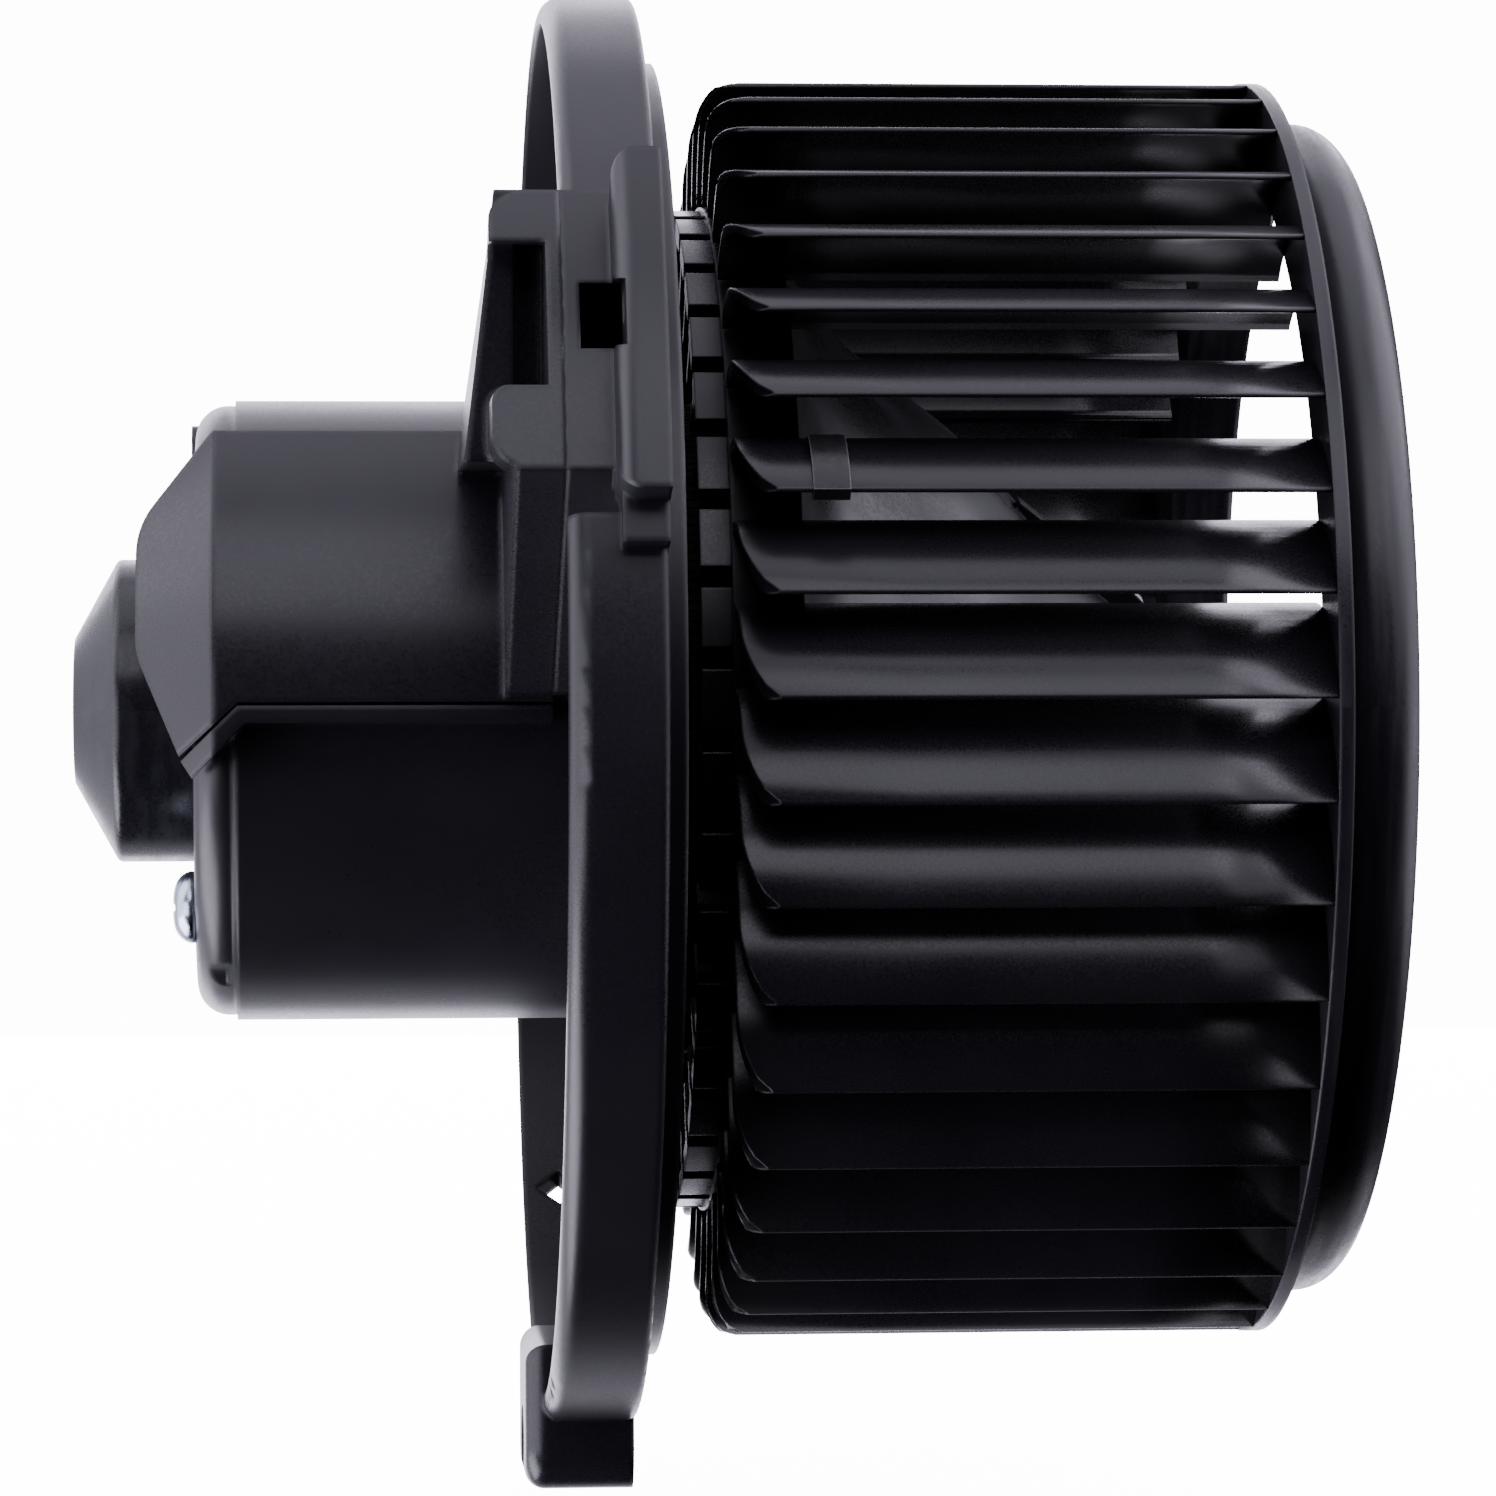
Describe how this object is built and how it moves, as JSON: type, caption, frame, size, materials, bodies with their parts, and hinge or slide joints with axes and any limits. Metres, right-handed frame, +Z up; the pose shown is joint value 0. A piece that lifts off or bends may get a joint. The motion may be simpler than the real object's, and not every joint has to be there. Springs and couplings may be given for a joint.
{
  "type": "blower motor with squirrel-cage wheel",
  "caption": "Round-flanged blower motor in a moulded cup with a side cooling duct, driving a squirrel-cage wheel with a cone hub and a front inlet ring.",
  "frame": {"origin": "on the shaft axis, in the plane of the flange face that seats on the blower housing", "axes": "+X along the shaft towards the wheel, +Z up, the cooling duct on the -Y side and the electrical inlet on the +Y side"},
  "size_m": [0.149, 0.1743, 0.1773],
  "materials": {
    "housing_plastic": "satin moulded black plastic",
    "cover_plastic": "satin moulded black plastic",
    "cap_plastic": "satin moulded black plastic",
    "wheel_plastic": "satin moulded black plastic",
    "hub_plastic": "satin moulded black plastic with faint radial flow marks",
    "ring_plastic": "satin moulded black plastic",
    "zinc_screw": "blue-white zinc plate",
    "can_steel": "zinc-plated drawn steel",
    "isolator_rubber": "matt ribbed rubber",
    "ferrite": "ground ferrite",
    "spring_steel": "oiled spring steel",
    "sintered_bronze": "oil-filled sintered bronze",
    "card_plastic": "brown phenolic",
    "brass_guides": "stamped brass",
    "carbon": "graphite",
    "copper_wire": "enamelled copper wire",
    "copper_bars": "turned copper",
    "socket_plastic": "moulded nylon",
    "tinned_brass": "tin-plated brass",
    "ground_steel": "ground steel",
    "lamination_steel": "stacked lamination steel",
    "washer_nylon": "natural nylon",
    "clip_steel": "black-phosphated spring steel"
  },
  "bodies": {
    "housing": {"flange_housing": "housing_plastic", "duct_cover": "cover_plastic", "rear_cap": "cap_plastic", "rear_screws": "zinc_screw", "front_screws": "zinc_screw", "motor_can": "can_steel", "motor_end_plate": "can_steel", "isolator_ring": "isolator_rubber", "magnets": "ferrite", "magnet_springs": "spring_steel", "front_bearing": "sintered_bronze", "rear_bearing": "sintered_bronze", "brush_card": "card_plastic", "brush_boxes": "brass_guides", "brush_spring_top": "spring_steel", "brush_spring_bottom": "spring_steel", "choke": "copper_wire", "connector_socket": "socket_plastic", "terminals": "tinned_brass"},
    "rotor": {"shaft": "ground_steel", "armature_core": "lamination_steel", "armature_windings": "copper_wire", "commutator_core": "card_plastic", "commutator_bars": "copper_bars", "thrust_washers": "washer_nylon", "wheel_hub": "hub_plastic", "hub_fins": "wheel_plastic", "wheel_blades": "wheel_plastic", "wheel_ring": "ring_plastic", "hub_insert": "brass_guides", "hub_clip": "spring_steel", "balance_clip": "clip_steel"},
    "brush_top": {"brush_top": "carbon"},
    "brush_bottom": {"brush_bottom": "carbon"}
  },
  "joints": [
    {"name": "wheel_spin", "type": "hinge", "parent": "housing", "child": "rotor", "pos_m": [0, 0, 0], "axis": [1, 0, 0], "continuous": true},
    {"name": "brush_top_slide", "type": "slide", "parent": "housing", "child": "brush_top", "axis": [0, 0, 1], "range_m": [0, 0.003], "stiffness_N_per_m": 120, "springref_m": -0.006, "deforming": ["brush_spring_top"]},
    {"name": "brush_bottom_slide", "type": "slide", "parent": "housing", "child": "brush_bottom", "axis": [0, 0, -1], "range_m": [0, 0.003], "stiffness_N_per_m": 120, "springref_m": -0.006, "deforming": ["brush_spring_bottom"]}
  ]
}
